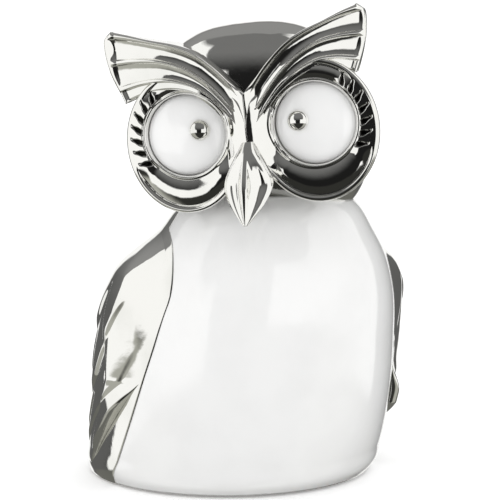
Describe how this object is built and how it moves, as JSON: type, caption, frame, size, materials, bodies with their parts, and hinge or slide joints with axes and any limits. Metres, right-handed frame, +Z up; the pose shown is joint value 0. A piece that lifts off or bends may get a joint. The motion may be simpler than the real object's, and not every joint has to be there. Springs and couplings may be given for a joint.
{
  "type": "owl figurine",
  "caption": "Standing owl figurine with its head turned, fluted ear-tuft brows, face discs, bead pupils and folded wings; white glaze and mirror-silver plating, rests on a felt base.",
  "frame": {"origin": "on the resting plane, at the middle of the felt base and of the foot ring", "axes": "+Z up; -Y is the way the breast faces; +X is the owl's left side. The head is turned 37 degrees towards the owl's right"},
  "size_m": [0.1242, 0.1531, 0.1786],
  "materials": {
    "white_glaze": "gloss",
    "silver_plating": "mirror silver plating on glaze",
    "bisque": "unglazed, matt",
    "felt": "matt felt"
  },
  "bodies": {
    "root": {"breast_shell": "white_glaze", "back_shell": "silver_plating", "base_plate": "bisque", "felt_base": "felt", "left_wing": "silver_plating", "right_wing": "silver_plating", "tail": "silver_plating", "head_shell": "silver_plating", "beak": "silver_plating", "left_brow": "silver_plating", "left_face_disc": "silver_plating", "left_eye": "white_glaze", "left_pupil": "silver_plating", "right_brow": "silver_plating", "right_face_disc": "silver_plating", "right_eye": "white_glaze", "right_pupil": "silver_plating"}
  },
  "joints": []
}
